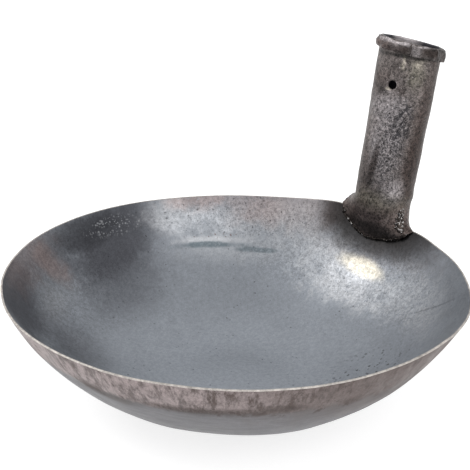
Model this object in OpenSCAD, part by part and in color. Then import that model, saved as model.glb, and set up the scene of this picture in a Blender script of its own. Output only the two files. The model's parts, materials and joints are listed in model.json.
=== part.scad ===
// Round-bottomed steel pan with a tapered pole socket welded astride its rim.
// Origin at the centre of the flat base, +Z up, +X towards the socket.

/* [Bowl] */
// Outside diameter of the rim
bowl_d = 270; // [240:5:320]
// Height of the rim above the flat base
bowl_h = 70; // [62:1:80]
// Diameter of the flat that the pan stands on
base_d = 56; // [50:2:70]
// Thickness of the steel sheet
sheet = 2; // [1.5:0.25:2.5]

/* [Socket] */
// Outside diameter of the socket at its mouth
mouth_d = 40.2; // [38:0.2:44]
// Outside diameter of the socket at its shoulder, above the foot
shoulder_d = 36.2; // [34:0.2:38]
// Length of the socket along its axis, from the plane of the rim to the mouth
socket_l = 117; // [100:1:140]
// Lean of the socket outwards from upright, in degrees
lean = 10.3; // [5:0.1:20]
// Depth of the parallel land inside the mouth
land_l = 12; // [10:1:15]
// Width of the slit between the rolled edges, which the seam weld fills
seam_gap = 1.2; // [1:0.1:1.6]

/* [Hoop] */
// Height of the hoop round the mouth
hoop_h = 7.5; // [6:0.5:9]
// Radial thickness of the hoop
hoop_t = 2; // [1.5:0.25:2.5]
// Gap between the butted ends of the hoop
hoop_gap = 1; // [0.8:0.1:1.5]

/* [Nail hole] */
// Diameter of the nail hole
nail_d = 5.5; // [4:0.5:6]
// Distance of the nail hole below the mouth
nail_drop = 27; // [22:1:35]
// Turn of the nail hole away from the plane through both axes, in degrees
nail_turn = 13; // [0:1:20]

/* [Foot] */
// Height of the shoulder above the rim, along the socket's axis
shoulder_s = 13; // [11:1:16]
// Half of the angle of rim that the foot covers, in degrees
foot_half = 13.5; // [12:0.5:15]
// Depth of the foot's tongues below the rim
foot_drop = 12; // [10:1:14]

/* [Welds] */
// Radius of the beads along the inside and outside of the foot
bead_r = 2; // [1.6:0.1:2.4]

/* [Hidden] */

rim_r = bowl_d / 2;
base_r = base_d / 2;
wall_run = rim_r - base_r;
// Radius of the wall's outer arc, tangent to the base and through the rim
arc_r = (wall_run * wall_run + bowl_h * bowl_h) / (2 * bowl_h);
arc_end = asin(wall_run / arc_r);
// Angle round the socket of the rolled seam, from the socket's outward side
seam_turn = 215;
inward = 180;
plate = 0.1;
// Height at which the foot's edge crosses the wall, just below the rim
edge_z = bowl_h - 1;
// Radius of the foot's rounded lower edge
edge_r = 0.9;
// Lowest point of the foot's inside below the rim, and how fast it rises towards the flanks
room_drop = 6;
room_rise = 10;
// How far above the shoulder the open seam starts
seam_start = 2;
// Straight runs that make up one bead
bead_runs = 6;
// Share of the foot's width that a bead covers
bead_span = 0.9;
// Points down a flank, as shares of its height, and how far its bead sits inside the shoulder
flank_stops = [0.2, 0.48, 0.75];
flank_inset = 0.6;
flank_r = bead_r + 0.2;
// Facets round the bowl, the socket, the foot and the beads
bowl_facets = 360;
tube_facets = 96;
foot_facets = 48;
bead_facets = 12;
edge_facets = 8;
eps = 0.01;

// Radius, at height z, of the surface that lies depth inside the outer wall
function wall_radius(z, depth) =
    base_r + sqrt(pow(arc_r - depth, 2) - pow(arc_r - z, 2));

// A point of the wall at the angle a round the bowl, depth inside the outer wall
function wall_point(a, z, depth) =
    [wall_radius(z, depth) * cos(a), wall_radius(z, depth) * sin(a), z];

// Outline of a tongue: t runs from -1 to 1 across the foot
function tongue_point(t, depth) =
    wall_point(foot_half * t, edge_z - foot_drop * (1 - t * t), depth);

// A point on the flank of the foot: u is 0 at the shoulder and 1 at the rim
function flank_point(side, u) =
    let (top = [rim_r + shoulder_s * sin(lean), side * (shoulder_d / 2 - flank_inset),
                bowl_h + shoulder_s * cos(lean)],
         low = wall_point(side * foot_half, edge_z, sheet / 2))
    top + (low - top) * u;

// Places its children in the socket's own frame, s along the axis from the rim
module on_socket(s = 0) {
    translate([rim_r, 0, bowl_h]) rotate([0, lean, 0]) translate([0, 0, s]) children();
}

// The bowl as one sheet: a flat base and a wall of one arc, cut square at the rim
module bowl_shape() {
    far = 2 * arc_r;
    cylinder(h = sheet, r = base_r, $fn = bowl_facets);
    rotate_extrude($fn = bowl_facets) translate([base_r, arc_r]) intersection() {
        difference() {
            circle(arc_r, $fn = bowl_facets);
            circle(arc_r - sheet, $fn = bowl_facets);
        }
        polygon([for (a = [0, arc_end / 2, arc_end]) [far * sin(a), -far * cos(a)],
                 [0, 0]]);
    }
}

// The cone of the socket, from the shoulder up to the mouth
module socket_cone() {
    on_socket(shoulder_s)
        cylinder(h = socket_l - shoulder_s, r1 = shoulder_d / 2, r2 = mouth_d / 2, $fn = tube_facets);
}

// The room inside the socket: a cone, and a parallel land at the mouth
module socket_room() {
    land_r = mouth_d / 2 - sheet;
    on_socket(shoulder_s - eps)
        cylinder(h = socket_l - land_l - shoulder_s + 2 * eps,
                 r1 = shoulder_d / 2 - sheet, r2 = land_r, $fn = tube_facets);
    on_socket(socket_l - land_l) cylinder(h = land_l + 1, r = land_r, $fn = tube_facets);
}

// The pinched foot: round at the shoulder, and as thin as the wall at its lower edge
module foot_body() {
    hull() {
        on_socket(shoulder_s - plate) cylinder(h = plate, r = shoulder_d / 2, $fn = foot_facets);
        for (t = [-1 : 0.25 : 1])
            translate(tongue_point(t, sheet / 2)) sphere(edge_r, $fn = edge_facets);
    }
}

// The room inside the foot, which closes towards the flanks and the tongues
module foot_room() {
    hull() {
        on_socket(shoulder_s - plate)
            cylinder(h = 2 * plate, r = shoulder_d / 2 - sheet, $fn = foot_facets);
        for (t = [-0.5, 0, 0.5])
            translate(wall_point(foot_half * t, bowl_h - room_drop + room_rise * abs(t), sheet / 2))
                sphere(edge_r, $fn = edge_facets);
    }
}

// A radial slot through the socket's wall, down the seam
module seam_slot(width) {
    on_socket(shoulder_s + seam_start) rotate(seam_turn)
        translate([shoulder_d / 2 - 2 * sheet, -width / 2, 0])
            cube([5 * sheet, width, socket_l - shoulder_s]);
}

// The hole that a nail goes through into the pole
module nail_hole() {
    on_socket(socket_l - nail_drop) rotate(inward + nail_turn) rotate([0, 90, 0])
        translate([0, 0, mouth_d / 4]) cylinder(h = mouth_d / 2, r = nail_d / 2, $fn = foot_facets);
}

// A weld bead: straight runs, round in section, between the given points
module bead(points, radius) {
    for (i = [0 : len(points) - 2]) hull() {
        translate(points[i]) sphere(radius, $fn = bead_facets);
        translate(points[i + 1]) sphere(radius, $fn = bead_facets);
    }
}

// Points of a bead along a tongue, which stops short of the rim
function tongue_points(depth) =
    [for (i = [0 : bead_runs]) tongue_point(bead_span * (2 * i / bead_runs - 1), depth)];

module bowl() {
    color([0.50, 0.53, 0.57]) bowl_shape();
}

module socket() {
    color([0.45, 0.43, 0.42]) difference() {
        socket_cone();
        socket_room();
        nail_hole();
        seam_slot(seam_gap);
    }
}

module foot() {
    color([0.30, 0.29, 0.28]) difference() {
        foot_body();
        foot_room();
        bowl_shape();
    }
}

module mouth_hoop() {
    color([0.38, 0.35, 0.34]) difference() {
        on_socket(socket_l - hoop_h) difference() {
            cylinder(h = hoop_h, r = mouth_d / 2 + hoop_t, $fn = tube_facets);
            translate([0, 0, -eps]) cylinder(h = hoop_h + 2 * eps, r = mouth_d / 2, $fn = tube_facets);
        }
        on_socket(socket_l - hoop_h - 1) rotate(seam_turn)
            translate([mouth_d / 4, -hoop_gap / 2, 0]) cube([mouth_d, hoop_gap, hoop_h + 2]);
    }
}

module socket_seam_weld() {
    color([0.40, 0.38, 0.37]) intersection() {
        seam_slot(seam_gap);
        difference() {
            socket_cone();
            socket_room();
        }
    }
}

module inner_foot_weld() {
    color([0.25, 0.24, 0.23]) difference() {
        bead(tongue_points(sheet), bead_r);
        bowl_shape();
        foot_body();
    }
}

module outer_foot_weld() {
    color([0.25, 0.24, 0.23]) difference() {
        bead(tongue_points(0), bead_r);
        bowl_shape();
        foot_body();
    }
}

module flank_weld(side) {
    color([0.30, 0.28, 0.27]) difference() {
        bead([for (u = flank_stops) flank_point(side, u)], flank_r);
        bowl_shape();
        foot_body();
    }
}

bowl();
socket();
foot();
mouth_hoop();
socket_seam_weld();
inner_foot_weld();
outer_foot_weld();
flank_weld(1);  // left_flank_weld
flank_weld(-1);  // right_flank_weld
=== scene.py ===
"""A round-bottomed steel pan with a rolled pole socket: surfaces and finishes over the shared frame."""

import json
import math

import bpy
import numpy as np
from mathutils import Matrix, Vector


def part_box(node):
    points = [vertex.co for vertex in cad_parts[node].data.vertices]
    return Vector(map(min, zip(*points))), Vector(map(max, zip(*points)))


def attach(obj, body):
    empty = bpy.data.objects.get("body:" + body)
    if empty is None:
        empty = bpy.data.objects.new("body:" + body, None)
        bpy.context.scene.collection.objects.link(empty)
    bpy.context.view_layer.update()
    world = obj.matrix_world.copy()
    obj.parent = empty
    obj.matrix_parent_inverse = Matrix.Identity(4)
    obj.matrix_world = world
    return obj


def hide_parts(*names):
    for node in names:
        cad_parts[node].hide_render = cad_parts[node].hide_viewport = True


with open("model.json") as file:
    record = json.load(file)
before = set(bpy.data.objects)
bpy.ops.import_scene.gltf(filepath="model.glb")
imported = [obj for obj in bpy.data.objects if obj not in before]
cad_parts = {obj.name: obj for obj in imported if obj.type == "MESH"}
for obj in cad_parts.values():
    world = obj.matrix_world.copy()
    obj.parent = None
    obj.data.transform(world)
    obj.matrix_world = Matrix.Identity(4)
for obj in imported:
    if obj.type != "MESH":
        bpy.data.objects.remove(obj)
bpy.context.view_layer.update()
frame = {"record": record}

bl_info = {
    "name": "Steel Pan with Pole Socket",
    "version": (1, 0, 0),
    "blender": (4, 5, 0),
    "location": "3D View > Sidebar > Steel Pan",
    "description": "Builds a round-bottomed steel pan, its rolled socket, hoop and welds",
    "category": "Object",
}

MM = 0.001
FULL_TURN = 2 * math.pi
ROOT = "root"

MOUNTS = {m["name"]: m for m in frame["record"]["mounts"]}
RIM_RADIUS = float(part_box("bowl")[1][0])
# Angle round the socket at which its mouth stands highest
TILT_TURN = math.radians(44)
# Material slots of the bowl, and rows of its mesh on the flat and up the wall
INSIDE, EDGE, OUTSIDE = 0, 1, 2
FLAT_ROWS, WALL_ROWS, BOWL_COLUMNS = 11, 100, 440


# ---------------------------------------------------------------- sizes and colours

def length(name, description, default, low, high):
    """A length property, given in millimetres."""
    return bpy.props.FloatProperty(
        name=name, description=description, default=default * MM, min=low * MM, max=high * MM,
        unit="LENGTH", precision=4)


class PanSizes(bpy.types.PropertyGroup):
    """Sizes of the pan, its socket and its welds"""

    sheet: length("Sheet", "Thickness of the steel sheet", 2, 1, 3)
    flat_radius: length("Flat radius", "Radius of the flat that the pan stands on", 28, 20, 40)
    rim_height: length("Rim height", "Height of the rim above the flat", 70, 60, 80)
    rim_lift: length("Rim lift", "How far the welding heat has drawn the rim up beside the socket", 3, 0, 5)
    shoulder: length(
        "Shoulder", "Height of the socket's shoulder above the rim, along the socket", 14, 10, 20)
    shoulder_radius: length(
        "Shoulder radius", "Outside radius of the socket at its shoulder", 18.45, 16, 20)
    foot_half: bpy.props.FloatProperty(
        name="Foot half angle", description="Half of the angle of rim that the pinched foot covers",
        default=math.radians(13.3), min=math.radians(10), max=math.radians(16), subtype="ANGLE")
    foot_drop: length("Foot drop", "How far the foot's tongues reach below the rim", 10.8, 6, 16)
    hoop_height: length("Hoop height", "Height of the hoop round the mouth", 7.5, 5, 10)
    hoop_thickness: length("Hoop thickness", "How far the hoop stands proud of the socket", 2, 1, 3)
    mouth_tilt: length(
        "Mouth tilt", "How far the mouth's left side stands up, and its right side drops", 1.6, 0, 3)
    seam_turn: bpy.props.FloatProperty(
        name="Seam turn", description="Angle round the socket of its rolled seam, from the left-hand side",
        default=math.radians(125), min=0, max=FULL_TURN, subtype="ANGLE")
    bead: length("Bead", "Radius of the weld beads", 1.2, 0.8, 2.4)


def colour(name, description, default):
    """A colour property, in linear red, green and blue."""
    return bpy.props.FloatVectorProperty(
        name=name, description=description, default=default, size=3, min=0, max=1, subtype="COLOR")


class PanColours(bpy.types.PropertyGroup):
    """Colours of the bare, heated and scorched steel"""

    inside: colour("Inside", "Blue-grey steel of the bowl's inside", (0.245, 0.263, 0.290))
    inside_pale: colour("Inside, pale", "Rubbed steel of the bowl's inside", (0.47, 0.48, 0.50))
    inside_dark: colour("Inside, dark", "Slate tint on the bowl's inside", (0.080, 0.082, 0.094))
    brown: colour("Heat tint", "Pinkish brown heat tint", (0.250, 0.190, 0.178))
    # Used for real scorch and pits, and also as painted shade over the socket's foot and a painted shadow
    # under the hoop.
    scorch_and_shade: colour("Scorch", "Scorched steel round the welds", (0.022, 0.020, 0.019))
    # Painted highlight: the left softbox's reflection on the wall below the foot, painted into the inside's
    # colour.
    painted_highlight: colour("Cream", "Warm bright steel where the torch has cleaned it", (0.72, 0.67, 0.56))
    outside: colour("Outside", "Pinkish grey steel of the bowl's outside", (0.285, 0.240, 0.236))
    outside_low: colour("Outside, low", "Smoother steel below the brown band", (0.180, 0.177, 0.186))
    # Also used as painted shade on the near right of the bowl's outside and over the socket's foot.
    rust_and_shade: colour("Rust", "Brown streaks and scale", (0.062, 0.045, 0.040))
    socket: colour("Socket", "Worn steel of the socket", (0.175, 0.152, 0.145))
    # Also used for painted highlights: the hoop's top face and the lit stretch inside the socket.
    socket_pale_and_highlight: colour("Socket, pale", "Rubbed steel of the socket", (0.33, 0.305, 0.31))
    scale: colour("Mill scale", "Black flecks of mill scale", (0.018, 0.018, 0.022))
    weld: colour("Weld", "Weld metal", (0.095, 0.078, 0.070))
    # Painted glints: small highlights painted into the weld metal's colour.
    glint: colour("Glint", "Brushed spots of the weld metal", (0.66, 0.64, 0.63))
    edge: colour("Cut edge", "Bright cut edge of the rim", (0.62, 0.58, 0.54))
    floor: colour("Floor", "Pale studio floor", (0.50, 0.50, 0.50))


def sizes():
    """The sizes in use."""
    return bpy.context.scene.pan_sizes


def colours():
    """The colours in use."""
    return bpy.context.scene.pan_colours


# ---------------------------------------------------------------- arithmetic for the surfaces

def unit(v):
    """The vectors v, each cut down to a length of one."""
    return v / np.linalg.norm(v, axis=-1, keepdims=True)


def smooth(low, high, x):
    """Smooth step: 0 below low, 1 above high, and 3t^2 - 2t^3 between them."""
    t = np.clip((x - low) / (high - low), 0, 1)
    return t * t * (3 - 2 * t)


def swell(turn, middle, width):
    """A bell curve round a circle: one at the middle, falling off over the width, both in degrees."""
    away = np.degrees(np.angle(np.exp(1j * (turn - math.radians(middle)))))
    return np.exp(-(away / width) ** 2)


def lumps(points, size, seed, waves=40):
    """Random lumps of about the given size: a sum of sine waves in random directions, with unit spread."""
    draw = np.random.default_rng(seed)
    way = unit(draw.normal(size=(waves, 3))) * draw.uniform(0.6, 1.5, size=(waves, 1))
    phase = draw.uniform(0, FULL_TURN, waves)
    turn = FULL_TURN / size * (points.reshape(-1, 3) @ way.T) + phase
    return (np.sin(turn).sum(axis=1) * math.sqrt(2 / waves)).reshape(points.shape[:-1])


def grid_quads(rows, columns, round_rows=False, round_columns=True):
    """Quads over a grid of rows and columns, joined end to end where it goes round."""
    r = np.arange(rows if round_rows else rows - 1)[:, None]
    c = np.arange(columns if round_columns else columns - 1)[None, :]
    r2, c2 = (r + 1) % rows, (c + 1) % columns
    corners = [r * columns + c, r * columns + c2, r2 * columns + c2, r2 * columns + c]
    return np.stack(np.broadcast_arrays(*corners), axis=-1)


def fan(centre, ring, turned=False):
    """Triangles from one centre point to a closed ring of points."""
    after = np.roll(ring, -1)
    first, second = (after, ring) if turned else (ring, after)
    return np.stack([np.full(len(ring), centre), first, second], axis=-1)


def build(name, points, quads, fans, slots, slot_of, node_names):
    """Makes one mesh object at the origin from whole arrays of points, quads and end fans.

    slots are its materials, and slot_of gives each quad's slot. The fans take the first slot.
    """
    faces = quads.reshape(-1, 4).tolist()
    for f in fans:
        faces += f.tolist()
    mesh = bpy.data.meshes.new(name)
    mesh.from_pydata(points.reshape(-1, 3).tolist(), [], faces)
    for material in slots:
        mesh.materials.append(material)
    index = np.zeros(len(faces), dtype=np.int32)
    if slot_of is not None:
        index[:len(slot_of)] = slot_of
    mesh.polygons.foreach_set("material_index", index)
    mesh.polygons.foreach_set("use_smooth", np.full(len(faces), True))
    mesh.update()
    piece = bpy.data.objects.new(name, mesh)
    bpy.context.scene.collection.objects.link(piece)
    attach(piece, ROOT)
    for node in node_names:
        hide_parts(node)
    return piece


# ---------------------------------------------------------------- the pan's own geometry

class Pan:
    """Works out the bowl's arc and the socket's frame from the sizes and the shared frame."""

    def __init__(self):
        s = sizes()
        self.sheet = s.sheet
        self.flat = s.flat_radius
        self.height = s.rim_height
        run = RIM_RADIUS - self.flat
        self.arc = (run * run + self.height * self.height) / (2 * self.height)
        self.arc_end = math.asin(run / self.arc)
        self.lift = s.rim_lift
        mouth = MOUNTS["socket_mouth"]
        self.axis = unit(np.array(mouth["axis"], float))
        half = mouth["dims"]["length_mm"] / 2 * MM
        self.mouth = np.array(mouth["pos_m"], float) + self.axis * half
        self.room = mouth["dims"]["r_mm"] * MM
        self.length = float((self.mouth[2] - self.height) / self.axis[2])
        self.base = self.mouth - self.axis * self.length
        self.left = np.array([0.0, 1.0, 0.0])
        self.inward = np.cross(self.axis, self.left)
        self.inward *= -math.copysign(1, self.inward[0])
        self.shoulder = s.shoulder
        self.shoulder_radius = s.shoulder_radius
        self.mouth_radius = self.room + self.sheet
        self.tilt = s.mouth_tilt

    def socket_radius(self, s):
        """Outside radius of the socket's cone at the distance s above the rim."""
        t = (s - self.shoulder) / (self.length - self.shoulder)
        return self.shoulder_radius + (self.mouth_radius - self.shoulder_radius) * t

    def on_socket(self, turn, s, radius):
        """Points round the socket: its axis at s, plus radius times the direction at the angle turn.

        Near the mouth the level tilts by the cosine of the angle, as the mouth isn't cut square.
        """
        way = np.cos(turn)[..., None] * self.left + np.sin(turn)[..., None] * self.inward
        near = smooth(self.length - 24 * MM, self.length - 8 * MM, s)
        level = s + self.tilt * np.cos(turn - TILT_TURN) * near * radius / self.mouth_radius
        return self.base + level[..., None] * self.axis + radius[..., None] * way

    def rim_rise(self, turn):
        """Rise of the rim beside the socket: one broad swell on the left of it and one on the right."""
        left = swell(turn, 15, 13) + 0.3 * swell(turn, 12, 6)
        right = 0.45 * swell(turn, -16, 7)
        slack = -0.2 * swell(turn, 60, 16)
        return self.lift * (left + right + slack)

    def rim_draw(self, turn):
        """How far the rim stands out of round: most on the near right, and a little on the near left."""
        near = 0.65 * swell(turn, -66, 22) + 0.28 * swell(turn, -32, 12)
        return self.lift * (near + 0.28 * swell(turn, 165, 25))

    def bend(self, points):
        """Moves points on the wall as the rim has moved, by the fourth power of their height."""
        turn = np.arctan2(points[..., 1], points[..., 0])
        share = np.clip(points[..., 2] / self.height, 0, 1.1) ** 4
        out = points.copy()
        radius = np.hypot(points[..., 0], points[..., 1])
        grow = 1 + self.rim_draw(turn) * share / np.maximum(radius, self.flat)
        out[..., 0] *= grow
        out[..., 1] *= grow
        out[..., 2] += self.rim_rise(turn) * share
        return out

    def wall_radius(self, height, depth):
        """Radius of the wall's surface at a height, the given depth inside its outer face."""
        inner = (self.arc - depth) ** 2 - (self.arc - height) ** 2
        return self.flat + np.sqrt(np.maximum(inner, 0))

    def wall_point(self, turn, height, depth):
        """A point of the wall at the angle turn round the bowl, bent with the rim."""
        low = np.minimum(height, self.height)
        radius = self.wall_radius(low, depth) + (height - low) * math.cos(self.arc_end)
        flat = np.stack([radius * np.cos(turn), radius * np.sin(turn), height], axis=-1)
        return self.bend(flat)


# ---------------------------------------------------------------- pieces

def bowl_points(pan, columns):
    """The bowl as one closed sheet: a profile carried once round.

    The profile runs from the middle of the inside, along the flat and the wall's arc, over the cut edge with
    softened corners, and back down the outside. The inside is worn away a little towards the rim. All of it
    waves a little, as a spun and beaten sheet does.
    """
    sheet, arc, flat = pan.sheet, pan.arc, pan.flat
    along = np.linspace(0, 1, WALL_ROWS + 1)[1:]
    angle = pan.arc_end * along
    inner_flat = np.linspace(0, flat, FLAT_ROWS + 1)[1:]
    inner = np.stack([inner_flat, np.full_like(inner_flat, sheet), np.full_like(inner_flat, INSIDE)],
                     axis=-1)
    wall = np.stack([flat + (arc - sheet) * np.sin(angle), arc - (arc - sheet) * np.cos(angle),
                     np.full_like(angle, INSIDE)], axis=-1)
    worn = 0.75 * MM * smooth(0.93, 1.0, along)
    corner = 0.40 * MM
    edge_turn = np.linspace(0, 1, 9)[1:-1]
    end = np.array([math.sin(pan.arc_end), -math.cos(pan.arc_end)])
    tip = np.array([math.cos(pan.arc_end), math.sin(pan.arc_end)])
    across = arc - (sheet - worn[-1]) * (1 - edge_turn)
    proud = -corner * (np.abs(2 * edge_turn - 1) ** 3)
    wall[:, :2] += worn[:, None] * np.stack([np.sin(angle), -np.cos(angle)], axis=-1)
    edge = np.array([flat, arc]) + across[:, None] * end + proud[:, None] * tip
    edge = np.concatenate([edge, np.full((len(edge), 1), float(EDGE))], axis=1)
    back = angle[::-1]
    outer = np.stack([flat + arc * np.sin(back), arc - arc * np.cos(back), np.full_like(back, OUTSIDE)],
                     axis=-1)
    wall[-1, :2] -= tip * corner
    outer[0, :2] -= tip * corner
    under = inner_flat[::-1]
    outer_flat = np.stack([under, np.zeros_like(under), np.full_like(under, OUTSIDE)], axis=-1)
    profile = np.concatenate([inner, wall, edge, outer[:-1], outer_flat])
    turn = np.linspace(0, FULL_TURN, columns, endpoint=False)
    radius, height = profile[:, 0][:, None], profile[:, 1][:, None]
    points = np.stack(np.broadcast_arrays(radius * np.cos(turn), radius * np.sin(turn), height), axis=-1)
    middle = points.copy()
    from_axis = np.maximum(np.hypot(points[..., 0], points[..., 1]), flat)
    middle[..., :2] *= 1 - 0.5 * sheet / from_axis[..., None]
    wave = 0.22 * MM * lumps(middle, 75 * MM, 11) + 0.05 * MM * lumps(middle, 17 * MM, 12)
    out = np.clip(points[..., 2] / pan.height, 0, 1)[..., None]
    centre_ring = np.stack([flat * np.cos(turn), flat * np.sin(turn), np.full_like(turn, arc)], axis=-1)
    way = unit(points - centre_ring[None])
    points = pan.bend(points + way * (wave[..., None] * smooth(0.03, 0.3, out)))
    return profile, points


class PAN_OT_bowl(bpy.types.Operator):
    """Build the bowl"""

    bl_idname = "pan.bowl"
    bl_label = "Bowl"

    def execute(self, context):
        pan = Pan()
        columns = BOWL_COLUMNS
        profile, points = bowl_points(pan, columns)
        rows = len(profile)
        quads = grid_quads(rows, columns)
        side = profile[:, 2]
        kind = np.where(side[:-1] == side[1:], side[:-1], EDGE).astype(int)
        slot_of = np.repeat(kind, columns)
        flat_points = points.reshape(-1, 3)
        ends = np.array([[0, 0, pan.sheet], [0, 0, 0]])
        flat_points = np.concatenate([flat_points, ends])
        count = rows * columns
        fans = [fan(count, np.arange(columns), True), fan(count + 1, np.arange(count - columns, count))]
        slots = [bowl_inside_steel(), cut_edge_steel(), bowl_outside_steel()]
        piece = build("Bowl", flat_points, quads, fans, slots, slot_of, ["bowl"])
        polygons = piece.data.polygons
        index = np.zeros(len(polygons), dtype=np.int32)
        polygons.foreach_get("material_index", index)
        index[-columns:] = OUTSIDE
        polygons.foreach_set("material_index", index)
        return {"FINISHED"}


def socket_surface(pan, turn, s, inside):
    """The socket's wall above the shoulder: a cone, a little out of round and dented.

    The inside face is the same cone less the sheet, parallel for its last stretch below the mouth.
    """
    radius = pan.socket_radius(s)
    where = pan.on_socket(turn, s, radius)
    dent = 0.10 * MM * lumps(where, 26 * MM, 21) + 0.035 * MM * lumps(where, 6 * MM, 22)
    dent = dent * smooth(pan.shoulder - 2 * MM, pan.shoulder + 14 * MM, s)
    if inside:
        radius = np.minimum(radius - pan.sheet, pan.room)
    lip = np.exp(-((s - pan.shoulder - 5.0 * MM) / (3.0 * MM)) ** 2)
    waist = np.exp(-((s - pan.shoulder) / (2.6 * MM)) ** 2)
    right = swell(turn, 178, 34)
    bow = 0.35 * MM * right * np.exp(-((s - 58 * MM) / (24 * MM)) ** 2)
    bulge = (0.10 * MM + 0.95 * MM * right) * lip - 0.45 * MM * right * waist + bow
    return pan.on_socket(turn, s, radius + dent + bulge)


def foot_loop(pan, turn, inside):
    """Lower edge of the pinched foot: two tongues, one each side of the wall, that meet over the rim.

    Across the foot it runs with the cosine of the turn. It drops as the sine does, and its depth in the wall
    swaps sides where the sheet folds over the rim.
    """
    s = sizes()
    up = np.sin(turn)
    half = s.foot_half * (1 - 0.10 * smooth(0.0, 1.0, np.cos(turn))) * (0.965 if inside else 1.0)
    across = np.cos(turn) * half
    side = np.tanh(4 * up)
    skin = 0.1 * MM if inside else 1.3 * MM
    depth = pan.sheet / 2 + (pan.sheet / 2 + skin) * side
    drop = (s.foot_drop + 1.5 * MM) * np.abs(up) ** 1.5
    height = pan.height + 1.5 * MM - 1.1 * MM * smooth(0.6, 1.0, -np.cos(turn))
    height = height - drop + 0.35 * MM * np.sin(7 * turn + 1)
    point = pan.wall_point(across, np.minimum(height, pan.height), depth)
    point[..., 2] += np.maximum(height - pan.height, 0)
    return point


def foot_surface(pan, turn, share, inside):
    """The pinched foot: curves from the round shoulder to the loop along its lower edge.

    share is 0 at the shoulder and 1 at the edge. Each curve is a cubic that leaves the shoulder along the
    socket's axis and arrives along the line to the edge. On the right it arrives nearly level, so that flank
    spreads late.
    """
    top_s = np.full_like(turn, pan.shoulder)
    top = socket_surface(pan, turn, top_s, inside)
    low = foot_loop(pan, turn, inside)
    chord = low - top
    rightward = smooth(0.1, 1.0, -np.cos(turn))
    leftward = smooth(0.1, 1.0, np.cos(turn))[..., None]
    downward = -pan.axis * np.linalg.norm(chord, axis=-1, keepdims=True)
    leave = downward + (chord * [1.0, 2.2, 1.0] - downward) * leftward
    arrive = chord * np.stack([1 + 2.5 * rightward, 1 + 2.5 * rightward, 1 - 0.7 * rightward], axis=-1)
    t = share[..., None]
    point = (2 * t ** 3 - 3 * t ** 2 + 1) * top + (t ** 3 - 2 * t ** 2 + t) * leave
    point = point + (3 * t ** 2 - 2 * t ** 3) * low + (t ** 3 - t ** 2) * arrive
    fade = smooth(0.0, 0.3, share) * smooth(1.0, 0.85, share)
    point = point + pan.inward * (0.16 * MM * lumps(point, 9 * MM, 23) * fade)[..., None]
    return point


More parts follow.
